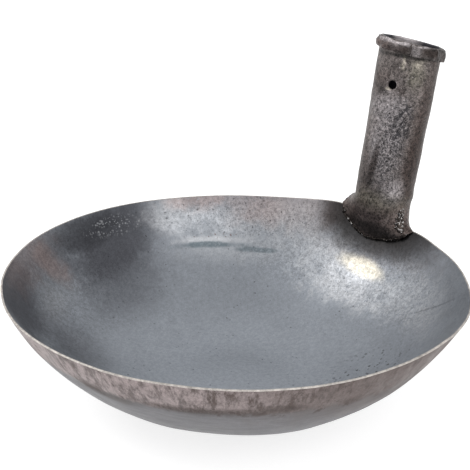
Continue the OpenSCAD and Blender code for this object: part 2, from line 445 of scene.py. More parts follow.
class PAN_OT_socket(bpy.types.Operator):
    """Build the rolled socket, with its pinched foot and its nail hole"""

    bl_idname = "pan.socket"
    bl_label = "Socket"

    def execute(self, context):
        pan = Pan()
        columns = 144
        turn = np.linspace(0, FULL_TURN, columns, endpoint=False)
        nail = MOUNTS["nail_hole"]
        nail_at = np.array(nail["pos_m"], float) - pan.base
        nail_s = float(nail_at @ pan.axis)
        nail_turn = math.atan2(float(nail_at @ pan.inward), float(nail_at @ pan.left))
        nail_radius = nail["dims"]["r_mm"] * MM
        step = FULL_TURN / columns
        reach = 5
        first = int(round(nail_turn / step)) - reach
        turn = turn + (nail_turn - (first + reach) * step)

        tall = 120
        cone_s = np.linspace(pan.length - 0.3 * MM, pan.shoulder, tall)
        row_step = cone_s[0] - cone_s[1]
        nail_row = int(round((cone_s[0] - nail_s) / row_step))
        rows_moved = 30
        near_nail = smooth(0, 1, 1 - abs(np.arange(tall) - nail_row) / rows_moved)
        cone_s = cone_s + (nail_s - cone_s[nail_row]) * near_nail
        foot_rows = 36
        share = np.linspace(0, 1, foot_rows + 1)[1:]

        t_cone, s_cone = np.meshgrid(turn, cone_s)
        t_foot, f_foot = np.meshgrid(turn, share)
        outer = np.concatenate([socket_surface(pan, t_cone, s_cone, False),
                                foot_surface(pan, t_foot, f_foot, False)])
        inner = np.concatenate([socket_surface(pan, t_cone, s_cone, True),
                                foot_surface(pan, t_foot, f_foot, True)])
        rows = len(outer)
        lip_share = np.array([0.12, 0.5, 0.88])[:, None, None]
        lip_rise = np.array([0.22, 0.3, 0.22])[:, None, None] * MM
        lip_rows = len(lip_share)
        mouth_lip = inner[0] + (outer[0] - inner[0]) * lip_share + pan.axis * lip_rise
        down = unit(outer[-1] - outer[-2])
        foot_lip = outer[-1] + (inner[-1] - outer[-1]) * lip_share + down * lip_rise
        points = np.concatenate([outer, foot_lip, inner[::-1], mouth_lip])
        total = len(points)
        quads = grid_quads(total, columns, round_rows=True)

        keep = np.ones((total, columns), bool)
        low_row, high_row = nail_row - reach, nail_row + reach
        inner_low = rows + lip_rows + (rows - 1 - high_row)
        inner_high = rows + lip_rows + (rows - 1 - low_row)
        window = np.arange(first, first + 2 * reach) % columns
        keep[low_row:high_row, window] = False
        keep[inner_low:inner_high, window] = False
        kept = quads[keep]

        span = np.arange(2 * reach)
        border_rows = np.concatenate([0 * span, span, 0 * span + 2 * reach, 2 * reach - span])
        border_columns = np.concatenate([span, 0 * span + 2 * reach, 2 * reach - span, 0 * span])
        around = (border_columns + first) % columns
        outer_border = (border_rows + low_row) * columns + around
        inner_border = (inner_high - border_rows) * columns + around
        offset_s = (reach - border_rows) * row_step
        offset_t = (border_columns - reach) * step
        round_way = np.arctan2(offset_s, offset_t * pan.mouth_radius)
        rings, ring_points = 5, len(span) * 4
        square = np.hypot(offset_s, offset_t * pan.mouth_radius)
        levels = np.linspace(1, 0, rings)[1:, None]
        lip = 0.45 * MM

        def circle_rings(is_inside):
            """Rings that shrink from the square's border to the hole, on one face of the wall."""
            wide = nail_radius + lip + (square - nail_radius - lip) * levels
            ring_s = nail_s + wide * np.sin(round_way)
            ring_t = nail_turn + wide * np.cos(round_way) / pan.mouth_radius
            return socket_surface(pan, ring_t, ring_s, is_inside)

        outer_rings, inner_rings = circle_rings(False), circle_rings(True)
        wall_levels = np.array([0.10, 0.28, 0.5, 0.72, 0.90])[:, None, None]
        wall_width = nail_radius + lip * np.array([0.35, 0.06, 0.0, 0.06, 0.35])[:, None]
        way = unit(np.array(nail["axis"], float))
        side_way = np.cross(pan.axis, way)
        side_way *= math.copysign(1, float(side_way @ (outer_rings[-1][np.argmin(abs(round_way))] - pan.base)
                                           - side_way @ (np.array(nail["pos_m"]) - pan.base)))
        ring_mid = outer_rings[-1] + (inner_rings[-1] - outer_rings[-1]) * wall_levels
        centre = ring_mid.mean(axis=1, keepdims=True)
        spoke = unit(np.sin(round_way)[:, None] * pan.axis + np.cos(round_way)[:, None] * side_way)
        flat_depth = ((ring_mid - centre) @ way)[..., None] * way
        wall = centre + flat_depth + spoke[None] * wall_width[..., None]
        patch = np.concatenate([outer_rings, wall, inner_rings[::-1]])
        start = total * columns
        ids = start + np.arange(patch.shape[0] * ring_points).reshape(patch.shape[0], ring_points)
        ids = np.concatenate([outer_border[None], ids, inner_border[None]])
        after = np.roll(ids, -1, axis=1)
        patch_quads = np.stack([ids[:-1], after[:-1], after[1:], ids[1:]], axis=-1)
        all_points = np.concatenate([points.reshape(-1, 3), patch.reshape(-1, 3)])
        all_quads = np.concatenate([kept.reshape(-1, 4), patch_quads.reshape(-1, 4)])
        build("Socket", all_points, all_quads[:, ::-1], [], [socket_steel()], None, ["socket", "foot"])
        return {"FINISHED"}


class PAN_OT_hoop(bpy.types.Operator):
    """Build the battered hoop round the socket's mouth"""

    bl_idname = "pan.hoop"
    bl_label = "Mouth hoop"

    def execute(self, context):
        pan = Pan()
        s = sizes()
        columns, rows = 300, 40
        gap = 0.45 * MM / pan.mouth_radius
        lap = np.linspace(0, FULL_TURN, rows, endpoint=False)
        power = 0.45
        half_high, half_thick = s.hoop_height / 2, s.hoop_thickness / 2
        high = half_high * np.sign(np.sin(lap)) * np.abs(np.sin(lap)) ** power
        thick = half_thick * np.sign(np.cos(lap)) * np.abs(np.cos(lap)) ** power
        share, high = np.meshgrid(np.linspace(0, 1, columns), high)
        thick = np.meshgrid(share[0], thick)[1]
        ragged = gap * (1 + 0.8 * np.sin(2.3 * high / half_high + 0.5))
        t = s.seam_turn + ragged + (FULL_TURN - 2 * ragged) * share
        level = pan.length - half_high + high
        slid = np.cos(t - TILT_TURN)
        radius = pan.mouth_radius + half_thick + thick
        where = pan.on_socket(t, level, radius)
        outward = smooth(-0.4, 0.6, thick / half_thick)
        upward = smooth(0.0, 1.0, high / half_high)
        beat = 0.34 * MM * lumps(where, 11 * MM, 31) + 0.20 * MM * lumps(where, 4.2 * MM, 32)
        radius = radius + outward * (beat - 0.25 * MM - 0.45 * MM * slid) - 0.35 * MM * upward * outward
        droop = 0.28 * MM * lumps(where, 14 * MM, 33) - 0.32 * MM
        level = level + droop * upward - 0.2 * MM * lumps(where, 12 * MM, 34) * (1 - upward)
        points = pan.on_socket(t, level, radius)
        quads = grid_quads(rows, columns, round_rows=True, round_columns=False)
        flat = points.reshape(-1, 3)
        ends = np.stack([points[:, 0].mean(axis=0), points[:, -1].mean(axis=0)])
        flat = np.concatenate([flat, ends])
        count = rows * columns
        first_ring = np.arange(rows) * columns
        fans = [fan(count, first_ring), fan(count + 1, first_ring + columns - 1, True)]
        build("Mouth_Hoop", flat, quads, fans, [hoop_steel()], None, ["mouth_hoop"])
        return {"FINISHED"}


def bead_piece(name, path, radius, material, nodes, seed, rough, pitch=2.3 * MM, flatten=None):
    """A weld bead: circles along a path, whose radius swells and drops once every pitch, with lumps.

    The two ends are drawn in to rounded points.
    """
    count = len(path)
    around = 28
    ahead = unit(np.gradient(path, axis=0))
    up = np.array([0.0, 0.0, 1.0]) if flatten is None else flatten
    side = unit(np.cross(ahead, up))
    other = np.cross(side, ahead)
    walked = np.concatenate([[0], np.cumsum(np.linalg.norm(np.diff(path, axis=0), axis=1))])
    ripple = 1 - 0.16 * (walked / pitch % 1.0) ** 2
    ends = np.sqrt(np.clip(np.minimum(walked, walked[-1] - walked) / (1.6 * radius), 0.001, 1))
    lap = np.linspace(0, FULL_TURN, around, endpoint=False)
    ring = np.cos(lap)[None, :, None] * side[:, None] + np.sin(lap)[None, :, None] * other[:, None]
    where = path[:, None] + ring * radius
    size = radius * (ripple * ends)[:, None]
    coarse = np.clip(lumps(where, 3.4 * MM, seed), -1.4, 1.4)
    fine = np.clip(lumps(where, 1.6 * MM, seed + 1), -1.4, 1.4)
    size = size * (1 + rough * (0.18 * coarse + 0.08 * fine))
    points = path[:, None] + ring * size[..., None]
    quads = grid_quads(count, around)
    total = count * around
    flat = np.concatenate([points.reshape(-1, 3), path[[0, -1]]])
    fans = [fan(total, np.arange(around), True), fan(total + 1, np.arange(total - around, total))]
    build(name, flat, quads[..., ::-1], fans, [material], None, nodes)


def foot_edge_path(pan, low_turn, high_turn, count, out, level):
    """A path along the edge of one tongue, moved out from the wall and up by the given amounts."""
    turn = np.linspace(low_turn, high_turn, count)
    edge = foot_loop(pan, turn, False)
    away = np.stack([np.cos(edge[:, 1] / RIM_RADIUS), np.sin(edge[:, 1] / RIM_RADIUS), 0 * turn], axis=-1)
    return edge + away * out + np.array([0, 0, 1]) * level


class PAN_OT_welds(bpy.types.Operator):
    """Lay the weld beads of the seam, the foot's tongues and its flanks"""

    bl_idname = "pan.welds"
    bl_label = "Welds"

    def execute(self, context):
        pan = Pan()
        s = sizes()
        quiet = weld_metal("Weld metal", 0.68, 0.35)
        glinting = weld_metal("Glinting weld metal", 0.63, 0.35)
        bright = weld_metal("Bright glinting weld metal", 0.55, 1.0)
        tongue = foot_edge_path(pan, math.radians(20), math.radians(158), 150, 0.1 * MM, 0.0)
        bead_piece("Inner_Foot_Weld", tongue, s.bead * 0.95, glinting, ["inner_foot_weld"], 41, 1.0)
        back = foot_edge_path(pan, math.radians(198), math.radians(342), 150, -0.3 * MM, -0.1 * MM)
        bead_piece("Outer_Foot_Weld", back, s.bead * 1.3, quiet, ["outer_foot_weld"], 43, 0.8)
        share = np.linspace(0.22, 0.97, 70)
        left = foot_surface(pan, np.zeros_like(share), share, False) - pan.left * (0.75 * s.bead)
        bead_piece("Left_Flank_Weld", left, s.bead * 0.85, quiet, ["left_flank_weld"], 45, 0.4)
        turn = np.radians(np.linspace(177, 157, 70))
        share = np.linspace(0.02, 0.97, 70)
        right = foot_surface(pan, turn, share, False)
        away = unit(np.cos(turn)[:, None] * pan.left + np.sin(turn)[:, None] * pan.inward)
        right = right - away * (1.5 * s.bead)
        bead_piece("Right_Flank_Weld", right, s.bead * 2.7, bright, ["right_flank_weld"], 47, 0.8, 2.8 * MM)
        level = np.linspace(pan.length - s.hoop_height + 0.5 * MM, pan.shoulder + 2 * MM, 260)
        turn = np.full_like(level, s.seam_turn)
        fade = 0.30 * MM * smooth(pan.shoulder, pan.length - 12 * MM, level) - 0.62 * MM
        line = pan.on_socket(turn, level, pan.socket_radius(level) + fade)
        bead_piece("Socket_Seam_Weld", line, 0.62 * MM, socket_steel(), ["socket_seam_weld"], 49, 0.5,
                   1.3 * MM, pan.inward)
        return {"FINISHED"}


# ---------------------------------------------------------------- materials

VALUE, VECTOR = "NodeSocketFloat", "NodeSocketVector"


def start_group(name, inputs, outputs):
    """Starts a shader node group. Gives its tree, its node helper, its inputs and its output node."""
    tree = bpy.data.node_groups.new(name, "ShaderNodeTree")
    for kind, label, default in inputs:
        socket = tree.interface.new_socket(label, in_out="INPUT", socket_type=kind)
        if default is not None:
            socket.default_value = default
    for kind, label in outputs:
        tree.interface.new_socket(label, in_out="OUTPUT", socket_type=kind)
    n = Nodes(tree)
    return tree, n, n.add("NodeGroupInput").outputs, n.add("NodeGroupOutput")


class Nodes:
    """Lays shader nodes in one tree and links them."""

    def __init__(self, tree):
        self.tree = tree

    def put(self, node, key, value):
        """Links a socket to an input, or sets the input's own value."""
        if isinstance(value, bpy.types.NodeSocket):
            self.tree.links.new(value, node.inputs[key])
        else:
            node.inputs[key].default_value = value

    def add(self, kind, values=None, **settings):
        """Adds a node, sets its settings, and links or sets its inputs by name or number."""
        node = self.tree.nodes.new(kind)
        for key, value in settings.items():
            setattr(node, key, value)
        for key, value in (values or {}).items():
            self.put(node, key, value)
        return node

    def math(self, operation, *values):
        """The result of a Math node."""
        return self.add("ShaderNodeMath", dict(enumerate(values)), operation=operation).outputs[0]

    def times(self, *values):
        """The product of several values."""
        result = values[0]
        for value in values[1:]:
            result = self.math("MULTIPLY", result, value)
        return result

    def plus(self, *values):
        """The sum of several values."""
        result = values[0]
        for value in values[1:]:
            result = self.math("ADD", result, value)
        return result

    def minus(self, value, other):
        """One value less another."""
        return self.math("SUBTRACT", value, other)

    def larger(self, value, other):
        """The larger of two values."""
        return self.math("MAXIMUM", value, other)

    def step(self, value, low, high, to_low=0.0, to_high=1.0):
        """A smooth step of value from low to high, put out between to_low and to_high."""
        values = {"Value": value, "From Min": low, "From Max": high, "To Min": to_low, "To Max": to_high}
        return self.add("ShaderNodeMapRange", values, interpolation_type="SMOOTHSTEP").outputs["Result"]

    def noise(self, where, size, detail=5.0, roughness=0.55, distortion=0.0):
        """Noise whose lumps are about the given size in metres, from 0 to 1."""
        values = {"Vector": where, "Scale": 1 / size, "Detail": detail, "Roughness": roughness,
                  "Distortion": distortion}
        return self.add("ShaderNodeTexNoise", values).outputs["Fac"]

    def mix(self, amount, below, above):
        """Two colours mixed by an amount."""
        node = self.add("ShaderNodeMix", data_type="RGBA")
        self.put(node, 0, amount)
        for key, value in ((6, below), (7, above)):
            self.put(node, key, value if isinstance(value, bpy.types.NodeSocket) else (*value[:3], 1.0))
        return node.outputs[2]

    def shade(self, base, value):
        """A colour made lighter or darker by a value."""
        node = self.add("ShaderNodeVectorMath", {0: base, "Scale": value}, operation="SCALE")
        return node.outputs["Vector"]

    def group(self, tree, values):
        """Places a group and gives back its first output, or all of them where it has several."""
        node = self.tree.nodes.new("ShaderNodeGroup")
        node.node_tree = tree
        for key, value in values.items():
            self.put(node, key, value)
        return node.outputs if len(node.outputs) > 1 else node.outputs[0]

    def flecks(self, where, spacing, size, share):
        """Scattered flecks: spacing, size as a share of it, and the share of places that hold one."""
        return self.group(fleck_group(), {"Vector": where, "Spacing": spacing, "Size": size, "Share": share})

    def mottle(self, base, where, size, contrast):
        """A colour with small clouds of the given size laid over it."""
        clouds = self.group(mottle_group(), {"Vector": where, "Size": size, "Contrast": contrast})
        return self.shade(base, clouds)


def place_group():
    """Group: where a point lies round the up axis. Puts out its angle, its radius and its height."""
    name = "Place round an axis"
    if name in bpy.data.node_groups:
        return bpy.data.node_groups[name]
    outputs = [(VALUE, "Angle"), (VALUE, "Radius"), (VALUE, "Height")]
    tree, n, at, go = start_group(name, [(VECTOR, "Vector", None)], outputs)
    parts = n.add("ShaderNodeSeparateXYZ", {0: at["Vector"]}).outputs
    angle = n.math("DEGREES", n.math("ARCTAN2", parts[1], parts[0]))
    radius = n.math("SQRT", n.plus(n.times(parts[0], parts[0]), n.times(parts[1], parts[1])))
    for key, value in (("Angle", angle), ("Radius", radius), ("Height", parts[2])):
        n.put(go, key, value)
    return tree


def patch_group():
    """Group: a soft patch on a round piece, with a ragged edge and speckled body.

    The distance is the root of the squares of the angle and of the level from the patch's middle, each over
    its own half width. The mask falls from 1 to 0 as the distance passes 1. Noise moves the edge, and a
    finer noise breaks the body into speckles.
    """
    name = "Soft patch"
    if name in bpy.data.node_groups:
        return bpy.data.node_groups[name]
    defaults = {"Angle": 0.0, "Level": 0.0, "Noise": 0.5, "Fine noise": 0.5, "Middle angle": 0.0,
                "Middle level": 0.0, "Half angle": 10.0, "Half level": 0.01, "Softness": 0.5, "Ragged": 0.5,
                "Slant": 0.0, "Speckle": 0.0}
    inputs = [(VALUE, label, default) for label, default in defaults.items()]
    tree, n, at, go = start_group(name, inputs, [(VALUE, "Mask")])
    rise = n.minus(at["Level"], at["Middle level"])
    turn = n.minus(n.minus(at["Angle"], at["Middle angle"]), n.times(at["Slant"], rise))
    turn = n.math("WRAP", turn, 180.0, -180.0)
    across = n.math("DIVIDE", turn, at["Half angle"])
    along = n.math("DIVIDE", rise, at["Half level"])
    far = n.math("SQRT", n.plus(n.times(across, across), n.times(along, along)))
    stir = n.plus(n.minus(at["Noise"], 0.5), n.times(n.minus(at["Fine noise"], 0.5), 0.6))
    far = n.plus(far, n.times(stir, at["Ragged"]))
    mask = n.step(far, n.plus(1.0, at["Softness"]), n.minus(1.0, at["Softness"]))
    dots = n.step(n.plus(at["Fine noise"], n.times(mask, 0.12)), 0.46, 0.62)
    broken = n.plus(1.0, n.times(at["Speckle"], n.minus(dots, 1.0)))
    n.put(go, "Mask", n.times(mask, broken))
    return tree


def fleck_group():
    """Group: small flecks scattered over a surface: pits, scale or spatter.

    A point is in a fleck where the nearest of a set of scattered points is closer than the fleck's size,
    after noise has moved it a little, and only a share of the points carry one.
    """
    name = "Flecks"
    if name in bpy.data.node_groups:
        return bpy.data.node_groups[name]
    inputs = [(VECTOR, "Vector", None), (VALUE, "Spacing", 0.002), (VALUE, "Size", 0.3),
              (VALUE, "Share", 0.3)]
    tree, n, at, go = start_group(name, inputs, [(VALUE, "Mask")])
    scale = n.math("DIVIDE", 1.0, at["Spacing"])
    warp = n.add("ShaderNodeTexNoise", {"Vector": at["Vector"], "Scale": n.times(scale, 1.6), "Detail": 2.0})
    shift = n.shade(warp.outputs["Color"], n.times(at["Spacing"], 0.7))
    moved = n.add("ShaderNodeVectorMath", {0: at["Vector"], 1: shift}, operation="ADD").outputs["Vector"]
    cell = n.add("ShaderNodeTexVoronoi", {"Vector": moved, "Scale": scale})
    lot = n.add("ShaderNodeSeparateColor", {0: cell.outputs["Color"]}).outputs
    wide = n.times(at["Size"], n.step(lot[1], 0.0, 1.0, 0.5, 1.3))
    near = n.step(cell.outputs["Distance"], wide, n.times(wide, 0.5))
    n.put(go, "Mask", n.times(near, n.math("LESS_THAN", lot[0], at["Share"])))
    return tree


def mottle_group():
    """Group: a value about 1 that shades a colour lighter and darker in small clouds of two sizes."""
    name = "Mottle"
    if name in bpy.data.node_groups:
        return bpy.data.node_groups[name]
    inputs = [(VECTOR, "Vector", None), (VALUE, "Size", 0.002), (VALUE, "Contrast", 0.1)]
    tree, n, at, go = start_group(name, inputs, [(VALUE, "Shade")])
    scale = n.math("DIVIDE", 1.0, at["Size"])
    clouds = []
    for finer, detail in ((1.0, 6.0), (2.7, 3.0)):
        values = {"Vector": at["Vector"], "Scale": n.times(scale, finer), "Detail": detail, "Roughness": 0.7}
        clouds.append(n.step(n.add("ShaderNodeTexNoise", values).outputs["Fac"], 0.34, 0.66, -1.0, 1.0))
    total = n.plus(n.times(clouds[0], 0.6), n.times(clouds[1], 0.5))
    n.put(go, "Shade", n.plus(1.0, n.times(total, at["Contrast"])))
    return tree


def start_material(name, metallic):
    """A new material with its Principled BSDF, object coordinates and node helper."""
    material = bpy.data.materials.new(name)
    material.use_nodes = True
    n = Nodes(material.node_tree)
    shader = material.node_tree.nodes["Principled BSDF"]
    shader.inputs["Metallic"].default_value = metallic
    where = n.add("ShaderNodeTexCoord").outputs["Object"]
    return material, n, shader, where


def finish_material(n, shader, base, roughness, bump, strength, distance):
    """Links colour, roughness and bump to the shader."""
    n.put(shader, "Base Color", base)
    n.put(shader, "Roughness", roughness)
    normal = n.add("ShaderNodeBump", {"Height": bump, "Strength": strength, "Distance": distance}).outputs[0]
    n.put(shader, "Normal", normal)


def scaled(tint, factor):
    """A colour times a factor."""
    return tuple(v * factor for v in tint)


class Patches:
    """Soft patches on one piece, which share its angle, its level and two noises."""

    SHAPE = ("Middle angle", "Middle level", "Half angle", "Half level", "Softness", "Ragged", "Slant",
             "Speckle")

    def __init__(self, n, angle, level, noise, fine):
        self.n = n
        self.place = {"Angle": angle, "Level": level, "Noise": noise, "Fine noise": fine}

    def mask(self, *shape):
        """The mask of one patch, from its shape in the order of SHAPE."""
        return self.n.group(patch_group(), {**self.place, **dict(zip(self.SHAPE, shape))})

    def paint(self, base, rows):
        """Lays patches over a colour, one after another. Each row is a tint, its strength and a shape."""
        for tint, strength, *shape in rows:
            base = self.n.mix(self.n.times(self.mask(*shape), strength), base, tint)
        return base


def bowl_inside_steel():
    """Blue-grey steel of the bowl's inside.

    It has heat tints, worn pale streaks, weld spatter, one fine scratch, a scorched stretch by the foot, and
    pits. It also has a painted highlight below the foot, where the left softbox is reflected, with painted
    sheen round it. Levels are shares of the rim's radius.
    """
    c = colours()
    material, n, shader, where = start_material("Bowl inside steel", 0.85)
    angle, radius, _ = n.group(place_group(), {"Vector": where})
    level = n.math("DIVIDE", radius, RIM_RADIUS)
    broad = n.noise(where, 45 * MM, 4.0, 0.6, 0.6)
    noise = n.noise(where, 11 * MM, 6.0, 0.65, 0.4)
    fine = n.noise(where, 2.4 * MM, 5.0, 0.7, 0.3)
    base = n.mix(n.step(broad, 0.35, 0.7), scaled(c.inside, 0.93), scaled(c.inside, 1.08))
    base = n.mix(n.step(noise, 0.38, 0.7, 0.0, 0.25), base, scaled(c.inside, 1.3))
    pale, dark, brown, blue = c.inside_pale, c.inside_dark, c.brown, (0.135, 0.165, 0.185)
    patches = Patches(n, angle, level, noise, fine)
    base = patches.paint(base, (
        (scaled(c.inside, 1.42), 0.85, 0.0, 0.0, 400.0, 0.52, 0.45, 0.5),
        (scaled(c.inside, 1.30), 0.60, 112.0, 0.50, 24.0, 0.16, 0.7, 0.8),
        (dark, 0.90, 85.0, 0.91, 15.5, 0.12, 0.45, 0.7, -70.0, 0.0),
        (dark, 0.55, 88.0, 0.78, 17.0, 0.14, 0.8, 1.2, -40.0, 0.0),
        (scaled(dark, 0.55), 0.75, 94.0, 0.955, 14.0, 0.042, 0.5, 0.9),
        (dark, 0.45, 110.0, 0.93, 10.0, 0.08, 0.7, 1.0),
        (dark, 0.85, 140.0, 0.95, 17.0, 0.11, 0.5, 1.0),
        (dark, 0.45, 137.0, 0.70, 14.0, 0.13, 0.8, 1.2, 0.0, 0.2),
        (brown, 0.42, 123.0, 0.975, 14.0, 0.06, 0.7, 1.4, 0.0, 0.3),
        (brown, 0.60, 112.0, 0.92, 4.0, 0.07, 0.6, 1.4, 40.0, 0.2),
        (scaled(pale, 0.62), 0.40, 121.0, 0.84, 9.0, 0.05, 0.9, 1.6, 0.0, 0.5),
        (pale, 0.62, 64.0, 0.955, 7.5, 0.055, 0.7, 1.4, 0.0, 0.45),
        (pale, 0.45, 42.0, 0.93, 22.0, 0.045, 0.8, 1.6, 0.0, 0.75),
        (pale, 0.34, 42.0, 0.845, 20.0, 0.055, 0.7, 1.4, 0.0, 0.4),
        (brown, 0.65, 56.0, 0.985, 9.5, 0.030, 0.6, 1.6, 0.0, 0.45),
        (scaled(brown, 1.3), 0.40, 38.0, 0.965, 9.0, 0.050, 0.7, 1.6, 0.0, 0.4),
        (scaled(brown, 1.5), 0.55, 25.0, 0.97, 11.0, 0.05, 0.8, 1.6, 0.0, 0.5),
        (pale, 0.45, 24.0, 0.955, 9.0, 0.06, 0.8, 1.6, 0.0, 0.8),
        (pale, 0.70, 52.0, 0.869, 10.5, 0.011, 0.5, 1.2, 0.0, 0.1),
        (blue, 0.95, 52.5, 0.852, 11.5, 0.0098, 0.5, 2.0, 0.0, 0.55),
        (blue, 0.85, 36.5, 0.838, 8.0, 0.0090, 0.5, 2.0, 0.0, 0.55),
        (pale, 0.60, 15.0, 0.86, 10.0, 0.07, 0.9, 1.6, 0.0, 0.6),
        # Pale rubbed steel round the highlight, lifted further as painted sheen: the wide speckled spread of
        # the left softbox's reflection.
        (pale, 0.85, -1.0, 0.77, 17.0, 0.085, 0.6, 2.4, 0.0, 0.75),
        (pale, 0.50, -22.0, 0.84, 12.0, 0.08, 0.8, 2.6, 0.0, 0.8),
        (pale, 0.42, -38.0, 0.86, 10.0, 0.08, 0.9, 1.8, 0.0, 0.8),
        # Painted highlight below the foot, where the left softbox is reflected.
        (c.painted_highlight, 0.85, -2.0, 0.856, 8.4, 0.027, 0.45, 0.8, 40.0, 0.2),
        (dark, 0.45, -40.7, 0.887, 0.45, 0.062, 0.7, 0.8, -104.0, 0.0),
        (scaled(brown, 0.75), 0.60, 14.0, 0.975, 3.2, 0.05, 0.6, 1.2, 0.0, 0.2),
        (scaled(brown, 0.5), 0.40, -4.0, 0.985, 24.0, 0.105, 0.60, 0.9, -60.0, 0.1),
        (c.scorch_and_shade, 0.55, -5.0, 0.985, 20.5, 0.094, 0.30, 0.5, -50.0, 0.0),
        (c.scorch_and_shade, 0.60, 12.5, 0.985, 5.5, 0.050, 0.60, 0.8, 0.0, 0.1),
        (c.scorch_and_shade, 0.92, -3.5, 0.995, 16.0, 0.088, 0.50, 0.5, -50.0, 0.0),
    ))
    spatter_room = patches.mask(83.5, 0.948, 7.5, 0.020, 0.7, 1.6)
    grains = n.times(n.flecks(where, 1.1 * MM, 0.46, 0.40), 0.6)
    spatter = n.larger(n.flecks(where, 1.9 * MM, 0.50, 0.55), grains)
    base = n.mix(n.times(spatter, spatter_room, 0.72), base, pale)
    dot_room = patches.mask(51.0, 0.883, 10.0, 0.008, 0.4, 0.8)
    dots = n.flecks(where, 2.0 * MM, 0.34, 0.60)
    base = n.mix(n.times(dots, dot_room, 0.85), base, scaled(brown, 0.6))
    fine_pits = n.times(n.flecks(where, 2.9 * MM, 0.20, 0.40), n.step(noise, 0.40, 0.62))
    near_rim = patches.mask(-54.0, 0.58, 15.0, 0.15, 0.6, 1.4)
    far_rim = patches.mask(38.0, 0.94, 30.0, 0.06, 0.6, 1.0)
    big_pits = n.times(n.flecks(where, 2.7 * MM, 0.38, 0.70), near_rim)
    rim_pits = n.times(n.flecks(where, 2.2 * MM, 0.28, 0.30), far_rim, 0.8)
    pits = n.larger(n.larger(n.times(fine_pits, 0.75), big_pits), rim_pits)
    base = n.mix(n.times(pits, 0.80), base, c.scorch_and_shade)
    worn = n.larger(patches.mask(-2.0, 0.83, 42.0, 0.13, 0.6, 0.8), far_rim)
    left_wall = patches.mask(125.0, 0.88, 40.0, 0.22, 0.6, 0.8)
    worn = n.larger(worn, n.plus(0.34, n.times(left_wall, 0.36)))
    base = n.mottle(base, where, 2.3 * MM, n.times(worn, 0.40))
    roughness = n.plus(n.step(noise, 0.3, 0.7, 0.40, 0.52), n.times(pits, 0.2))
    bump = n.plus(n.times(fine, n.plus(0.4, worn)), n.times(pits, -0.8), n.times(noise, 0.6))
    finish_material(n, shader, base, roughness, bump, 0.30, 0.35 * MM)
    return material


def cut_edge_steel():
    """Bright cut edge of the rim, with small nicks."""
    c = colours()
    material, n, shader, where = start_material("Cut edge steel", 0.7)
    nicks = n.noise(where, 5 * MM, 6.0, 0.7)
    base = n.mix(n.step(nicks, 0.35, 0.65), scaled(c.edge, 0.60), c.edge)
    base = n.mottle(base, where, 2 * MM, 0.2)
    finish_material(n, shader, base, n.step(nicks, 0.3, 0.7, 0.38, 0.55), nicks, 0.3, 0.3 * MM)
    return material


def bowl_outside_steel():
    """Pinkish steel of the outside: a streaked band below the rim, a brown lower edge, smoother steel below.

    It is scorched by the foot, and painted darker on the near right as shade.
    """
    c = colours()
    material, n, shader, where = start_material("Bowl outside steel", 0.80)
    angle, radius, height = n.group(place_group(), {"Vector": where})
    walk = n.times(angle, 2.2 * MM)
    across = n.plus(n.times(radius, 0.2), 50 * MM)
    along = n.add("ShaderNodeCombineXYZ", {0: walk, 1: n.times(height, 0.34), 2: across}).outputs[0]
    level_line = n.add("ShaderNodeCombineXYZ", {0: n.times(angle, 0.25 * MM), 1: height, 2: 0.0}).outputs[0]
    noise = n.noise(where, 12 * MM, 6.0, 0.65, 0.5)
    broad = n.noise(where, 48 * MM, 4.0, 0.6, 0.5)
    streaks = n.noise(along, 3.4 * MM, 6.0, 0.72, 0.15)
    bands = n.noise(level_line, 2.6 * MM, 4.0, 0.6, 0.3)
    fine = n.noise(where, 1.4 * MM, 4.0, 0.7)
    at = n.plus(height, n.times(n.minus(noise, 0.5), 12 * MM))
    band = n.step(at, 48.5 * MM, 52 * MM)
    low = n.mix(n.step(noise, 0.35, 0.65), scaled(c.outside_low, 0.84), scaled(c.outside_low, 1.10))
    low = n.mix(n.times(n.step(bands, 0.60, 0.68), n.step(noise, 0.45, 0.6), 0.45), low, c.rust_and_shade)
    fade = n.step(height, 3 * MM, 22 * MM)
    streaky = n.plus(1.0, n.times(n.step(bands, 0.35, 0.65, -0.10, 0.10), fade))
    low = n.shade(low, streaky)
    high = n.mix(n.step(streaks, 0.36, 0.60), scaled(c.outside, 0.52), scaled(c.outside, 1.12))
    rusty = n.times(n.step(streaks, 0.50, 0.36), n.step(broad, 0.40, 0.58))
    high = n.mix(n.times(rusty, 0.85), high, scaled(c.rust_and_shade, 1.5))
    base = n.mix(band, low, high)
    dip = n.math("ABSOLUTE", n.minus(at, 51.5 * MM))
    stain = n.times(n.step(dip, 5.5 * MM, 0.5 * MM), n.step(n.plus(streaks, broad, noise), 1.50, 1.68))
    base = n.mix(n.times(stain, 0.85), base, c.rust_and_shade)
    stained = scaled(c.rust_and_shade, 0.8)
    base = Patches(n, angle, height, noise, fine).paint(base, (
        (stained, 0.85, -167.5, 48.3 * MM, 7.5, 3.2 * MM, 0.8, 1.6, 0.0, 0.3),
        (stained, 0.85, -144.0, 51.3 * MM, 13.0, 2.8 * MM, 0.8, 1.6, 0.0, 0.3),
        (stained, 0.85, -124.0, 54.0 * MM, 4.5, 3.2 * MM, 0.8, 1.6, 0.0, 0.3),
        # Painted shade: the near right of the outside painted darker.
        (scaled(c.rust_and_shade, 1.35), 0.76, -80.0, 62 * MM, 48.0, 30 * MM, 0.5, 0.8, 0.0, 0.15),
        (c.scorch_and_shade, 0.93, 0.0, 68 * MM, 19.0, 17 * MM, 0.6, 0.8, 0.0, 0.1),
        (scaled(c.brown, 0.7), 0.45, 0.0, 62 * MM, 30.0, 26 * MM, 0.5, 0.8, 0.0, 0.4),
    ))
    flecks = n.times(n.flecks(where, 2.2 * MM, 0.30, 0.35), band, n.step(noise, 0.42, 0.6))
    base = n.mix(n.times(flecks, 0.6), base, c.rust_and_shade)
    base = n.mottle(base, where, 2.2 * MM, n.plus(n.times(band, 0.16), 0.07))
    roughness = n.step(noise, 0.3, 0.7, 0.42, 0.60)
    bump = n.plus(n.times(fine, 0.4), n.times(streaks, 0.6), n.times(flecks, -0.5))
    finish_material(n, shader, base, roughness, bump, 0.30, 0.35 * MM)
    return material


